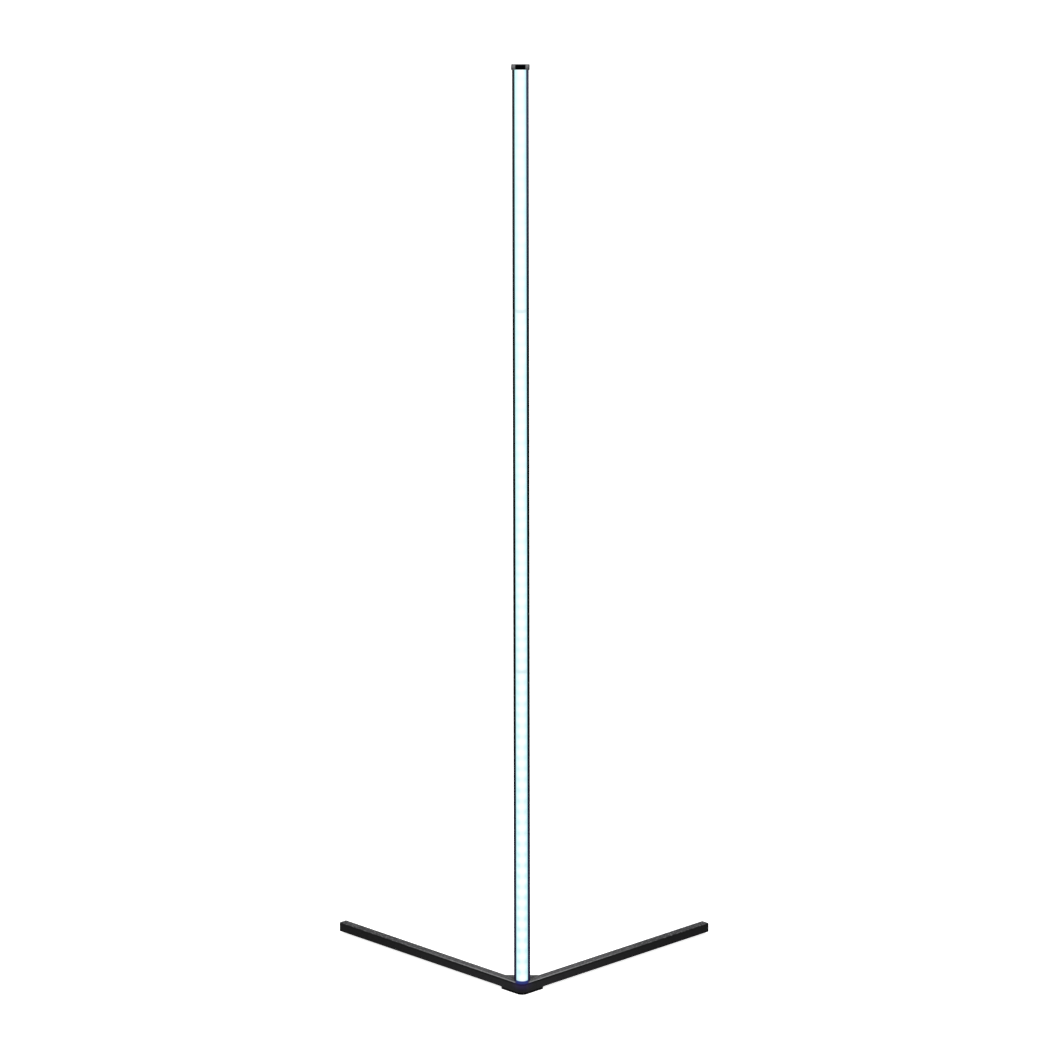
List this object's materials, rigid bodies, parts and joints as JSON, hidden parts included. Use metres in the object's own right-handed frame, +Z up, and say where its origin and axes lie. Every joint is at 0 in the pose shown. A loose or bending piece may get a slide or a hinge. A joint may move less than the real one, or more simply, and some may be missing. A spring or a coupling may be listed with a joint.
{
  "type": "corner floor lamp",
  "caption": "Upright light bar with a domed glowing front, standing in the corner of a V-shaped floor base with two thin square arms.",
  "frame": {"origin": "on the floor under the middle of the light bar, on the underside of the corner pad", "axes": "+Z up along the light bar; -Y is the way the rounded corner and the lit face look; the arms run back at 45 degrees to +Y, left arm to -X and right arm to +X"},
  "size_m": [0.5522, 0.2819, 1.4147],
  "materials": {
    "bracket_paint": "satin dark grey powder coat",
    "arm_paint": "satin dark grey powder coat",
    "foot_rubber": "matt black rubber",
    "black_moulding": "satin black moulding",
    "channel_anodised": "black anodised, fine drawn grain",
    "joiner_aluminium": "mill finish",
    "screw_steel": "black oxide",
    "diffuser_silicone": "translucent white silicone, lit from inside",
    "tape_white": "white solder mask",
    "led_chip": "white package with a clear window",
    "resistor_black": "black",
    "jack_black": "black moulding",
    "contact_brass": "plated brass",
    "nut_nickel": "nickel plate",
    "lead_red": "insulated wire",
    "lead_black": "insulated wire"
  },
  "bodies": {
    "root": {"corner_bracket": "bracket_paint", "corner_foot": "foot_rubber", "left_arm": "arm_paint", "right_arm": "arm_paint", "left_arm_end_plug": "black_moulding", "right_arm_end_plug": "black_moulding", "left_arm_foot": "foot_rubber", "right_arm_foot": "foot_rubber", "left_arm_screws": "screw_steel", "right_arm_screws": "screw_steel", "pole_lower": "channel_anodised", "pole_middle": "channel_anodised", "pole_upper": "channel_anodised", "lower_joiner": "joiner_aluminium", "upper_joiner": "joiner_aluminium", "lower_joiner_screws": "screw_steel", "upper_joiner_screws": "screw_steel", "pole_base_screws": "screw_steel", "top_cap": "black_moulding", "diffuser_sleeve": "diffuser_silicone", "led_tape": "tape_white", "led_chips": "led_chip", "led_resistors": "resistor_black", "dc_jack_body": "jack_black", "dc_jack_pin": "contact_brass", "dc_jack_nut": "nut_nickel", "dc_jack_sleeve_tab": "contact_brass", "lead_positive": "lead_red", "lead_negative": "lead_black"}
  },
  "joints": []
}
